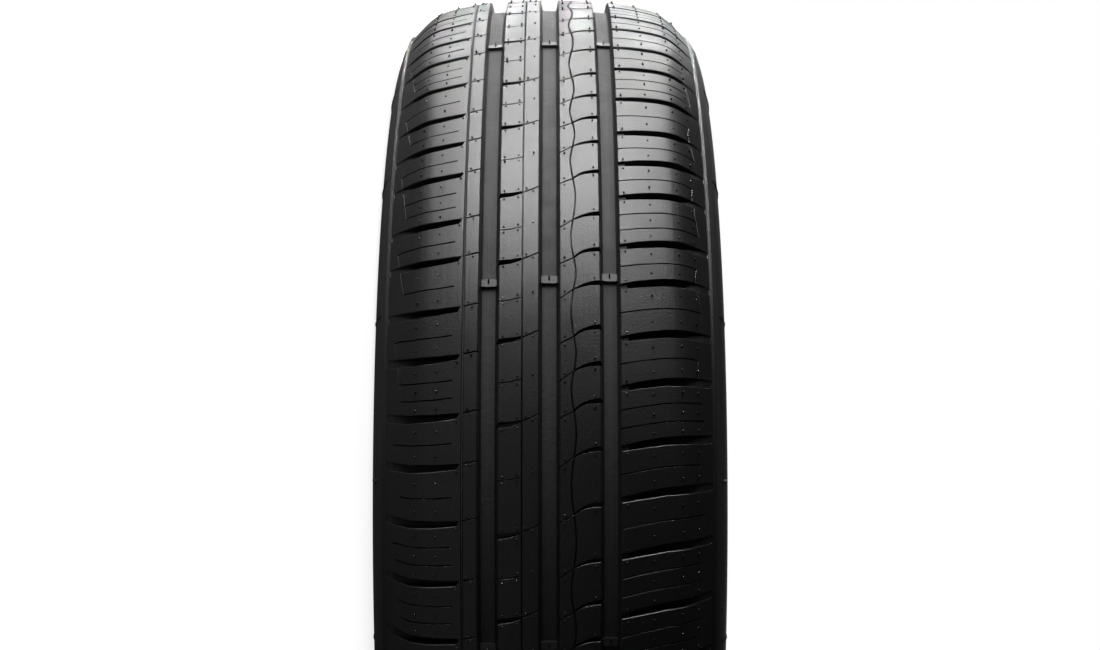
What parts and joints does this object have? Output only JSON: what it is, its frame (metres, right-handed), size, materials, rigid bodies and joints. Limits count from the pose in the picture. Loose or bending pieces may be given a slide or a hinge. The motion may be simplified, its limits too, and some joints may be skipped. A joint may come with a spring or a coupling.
{
  "type": "car tyre",
  "caption": "Passenger-car tyre moulded in one piece: a ribbed tread with straight grooves and slotted shoulders, rounded sidewalls and two beads that seat on a wheel rim.",
  "frame": {"origin": "centre of the tyre: on its spin axis, in the middle plane of its tread", "axes": "+Z along the spin axis, out of the sidewall that faces up when the tyre lies on its side; X and Y are alike, in the middle plane"},
  "size_m": [0.6215, 0.6214, 0.1872],
  "materials": {
    "tyre": "moulded black rubber, satin"
  },
  "bodies": {
    "root": {"tyre": "tyre"}
  },
  "joints": []
}
